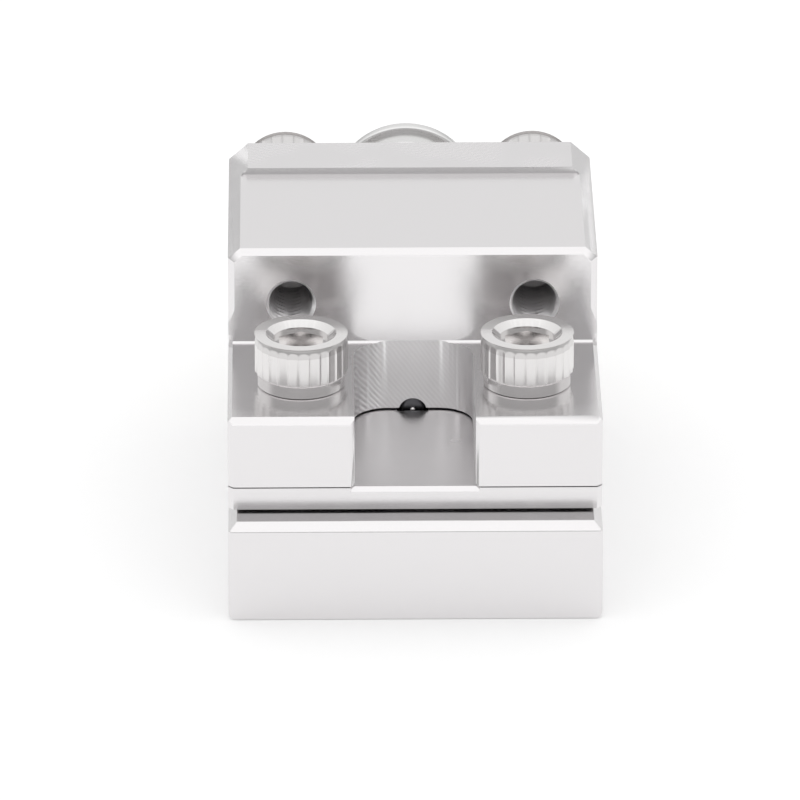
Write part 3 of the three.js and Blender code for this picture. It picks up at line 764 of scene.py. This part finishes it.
def knob():
    """A turned knob: hub, finely fluted barrel, one groove, a plain rim and a dished back."""
    back = KNOB_HIGH.y
    hub_front = KNOB_LOW.y
    hub, barrel, rim = 4.6, 6.4, 7.0
    grip, groove = 58.8, 72.6
    rim_front, round_off = back - 1.2, 0.3
    dish, bore = 4.5, 2.04
    flutes, flute_depth, flute_end = 60, 0.16, 0.25
    flutes_low, flutes_high = grip + 0.9, groove - 1.0
    screw_depth, screw_hole = 56.2, 1.5

    def radius(r, h, angle):
        if r != barrel or not flutes_low < h < flutes_high:
            return r
        across = 2 * (flutes * angle / (2 * pi) % 1) - 1
        ends = min(1, (h - flutes_low) / flute_end, (flutes_high - h) / flute_end)
        return r - flute_depth * (1 - abs(across)) * max(0, ends)
    edge = arc(rim_front + round_off, rim - round_off, round_off, 180, 90, 5)
    edge += arc(back - round_off, rim - round_off, round_off, 90, 0, 5)
    profile = [(bore + 0.3, hub_front), (hub - 0.3, hub_front), (hub, hub_front + 0.3), (hub, grip - 0.2),
               (hub + 0.2, grip), (barrel - 0.6, grip), (barrel - 0.2, grip + 0.25), (barrel, grip + 0.6)]
    profile += [(barrel, h) for h in (grip + 0.91, grip + 1.16, groove - 1.25, groove - 1.01)]
    profile += [(barrel, groove - 0.2), (barrel - 0.2, groove), (barrel, groove + 0.2),
                (barrel, rim_front)]
    profile += [(r, h) for h, r in edge]
    profile += [(dish + 0.4, back), (dish, back - 0.4), (1.2, back - 0.5), (0.9, back - 0.8),
                (0.05, back - 1.3),
                (0.05, SPINDLE_HIGH.y + 0.5), (bore, SPINDLE_HIGH.y + 0.2), (bore, hub_front + 0.3)]
    body = tube(profile, flutes * 6, radius)
    along_depth(body, 0, BORE_HEIGHT)
    cut(body, moved(bar(screw_hole, 1.0, 8.0, 0, 64), 0, screw_depth, BORE_HEIGHT))
    place(body, "knob_finished", "knob", "knob_and_spindle", "knob_aluminium", [KNOB_METAL], None, 0.04, 40)


def spindle():
    low, high = SPINDLE_LOW.y, SPINDLE_HIGH.y
    r, neck, shoulder = 1.98, 0.75, 34
    groove = 1.62
    clip_low, clip_high = CLIP_LOW.y - 0.04, CLIP_HIGH.y + 0.04
    body = turned([(neck - 0.1, low), (neck, low + 0.1), (neck, shoulder), (r - 0.3, shoulder),
                   (r, shoulder + 0.3), (r, clip_low), (groove, clip_low), (groove, clip_high),
                   (r - 0.3, clip_high), (r - 0.3, high - 0.3), (r - 0.6, high)], 56)
    ridges = thread(r - 0.32, r, SPINDLE_PITCH, clip_high + 0.05, high - 0.2, run_out=0.4)
    combine(body, "UNION", [ridges])
    along_depth(body, 0, BORE_HEIGHT)
    place(body, "spindle_finished", "spindle", "knob_and_spindle", "ground_steel", [GROUND_DEPTH], None, 0)


def stop_rod():
    low, high = ROD_LOW.y, ROD_HIGH.y
    r = 1.23
    pin, swivel, swivel_floor = 0.32, 0.81, 31.25
    body = tube([(r * 0.62, low), (r * 0.76, low + 0.08), (r * 0.88, low + 0.22), (r * 0.96, low + 0.4),
                 (r, low + 0.6), (r, high - 0.2), (r - 0.2, high), (swivel, high), (swivel, swivel_floor),
                 (pin, swivel_floor - 0.05), (pin, low)], 64)
    along_depth(body, 0, BORE_HEIGHT)
    # The rod takes the black material as painted shade: its black stands in for the shade deep in the bore.
    place(body, "stop_rod_finished", "stop_rod", "stop_slider", "ground_steel", [DARK], None, 0)


def stop_pin():
    low, high = PIN_LOW.y, PIN_HIGH.y
    r = (PIN_HIGH.x - PIN_LOW.x) / 2
    dome = [(r * sin(pi / 2 * k / 10), low + 0.28 * (1 - cos(pi / 2 * k / 10))) for k in range(1, 11)]
    body = along_depth(turned(dome + [(r, high)], 32), 0, BORE_HEIGHT)
    place(body, "stop_pin_finished", "stop_pin", "stop_slider", "ground_steel", [PLATED], None, 0)


base_block()
seat_plate()
upper_body()
rear_plate()
spindle_bush()
knob()
spindle()
stop_rod()
stop_pin()
for label, side in (("left", -1), ("right", 1)):
    upright = Matrix.Translation((side * FRONT_SCREW["x"], FRONT_SCREW["depth"], LEDGE_TOP))
    cap_screw(f"front_cap_screw_{label}_finished", f"front_cap_screw_{label}", f"front_screw_{label}",
              FRONT_SCREW["length"], upright)
    level = Matrix.Translation((side * REAR_SCREW["x"], PLATE_HIGH.y, REAR_SCREW["height"])) @ ALONG_DEPTH
    cap_screw(f"rear_cap_screw_{label}_finished", f"rear_cap_screw_{label}", "upper_jaw",
              REAR_SCREW["length"], level)

KEPT = {
    "seat_plate_screw_left": DARK, "seat_plate_screw_right": DARK, "knob_grub_screw": DARK,
    "guide_dowel_left": GROUND_UP, "guide_dowel_right": GROUND_UP,
    "spindle_clip": WIRE, "lift_spring_left": WIRE, "lift_spring_right": WIRE}
for name, material in KEPT.items():
    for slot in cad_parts[name].material_slots:
        slot.material = material


# ---- floor, light and camera ----
def floor():
    reach = 3.0
    points = [(-reach, -reach, 0), (reach, -reach, 0), (reach, reach, 0), (-reach, reach, 0)]
    plane = make(points, [(0, 1, 2, 3)])
    plane.name = "floor"
    material = bpy.data.materials.new("floor_white")
    material.use_nodes = True
    shader = material.node_tree.nodes["Principled BSDF"]
    shader.inputs["Base Color"].default_value = (0.99, 0.99, 0.99, 1)
    shader.inputs["Roughness"].default_value = 0.8
    shader.inputs["Specular IOR Level"].default_value = 0.0
    shader.inputs["Emission Color"].default_value = (1, 1, 1, 1)
    shader.inputs["Emission Strength"].default_value = 0.14
    plane.data.materials.append(material)
    plane.location.z = -0.00005


def sky():
    """Soft studio light: pale all round, dimmer towards the camera, brightest high in front."""
    world = bpy.data.worlds.new("studio")
    scene.world = world
    world.use_nodes = True
    nodes, links = world.node_tree.nodes, world.node_tree.links
    view = nodes.new("ShaderNodeTexCoord")
    axes = nodes.new("ShaderNodeSeparateXYZ")
    links.new(view.outputs["Generated"], axes.inputs[0])

    def ramp(stops):
        node = nodes.new("ShaderNodeValToRGB")
        links.new(axes.outputs[2], node.inputs[0])
        items = node.color_ramp.elements
        while len(items) < len(stops):
            items.new(0.5)
        for item, (at, value) in zip(items, stops):
            item.position = at
            item.color = (value, value, value, 1)
        return node.outputs[0]
    front = ramp([(0.0, 0.58), (0.25, 0.46), (0.42, 0.48), (0.55, 0.75), (0.7, 1.0), (0.86, 1.3),
                  (1.0, 1.1)])
    back = ramp([(0.0, 0.5), (0.12, 0.6), (0.3, 0.9), (0.5, 0.92), (0.8, 1.0), (1.0, 1.1)])
    turn = nodes.new("ShaderNodeMapRange")
    turn.interpolation_type = "SMOOTHSTEP"
    turn.inputs["From Min"].default_value = -0.25
    turn.inputs["From Max"].default_value = 0.25
    links.new(axes.outputs[1], turn.inputs["Value"])
    mix = nodes.new("ShaderNodeMix")
    mix.data_type = "RGBA"
    links.new(turn.outputs[0], mix.inputs[0])
    links.new(front, mix.inputs[6])
    links.new(back, mix.inputs[7])
    background = nodes["Background"]
    links.new(mix.outputs[2], background.inputs["Color"])
    background.inputs["Strength"].default_value = 1.0


def camera():
    """Level with the photograph: 23 degrees down, almost straight on, from 0.86 m away."""
    elevation, swing, distance = radians(23.0), radians(-0.67), 0.8636
    beside, below = 0.00142, -0.01991
    data = bpy.data.cameras.new("camera")
    data.lens, data.sensor_width = 427.5, 36
    data.clip_start, data.clip_end = 0.05, 20
    back = Vector((sin(swing) * cos(elevation), -cos(swing) * cos(elevation), sin(elevation)))
    right = Vector((0, 0, 1)).cross(back).normalized()
    up = back.cross(right).normalized()
    centre = Vector((0, FRONT, 0)) - right * beside - up * below
    eye = bpy.data.objects.new("camera", data)
    scene.collection.objects.link(eye)
    eye.location = centre + back * distance
    eye.rotation_euler = (-back).to_track_quat("-Z", "Y").to_euler()
    scene.camera = eye


floor()
sky()
camera()
scene.view_settings.view_transform = "Standard"
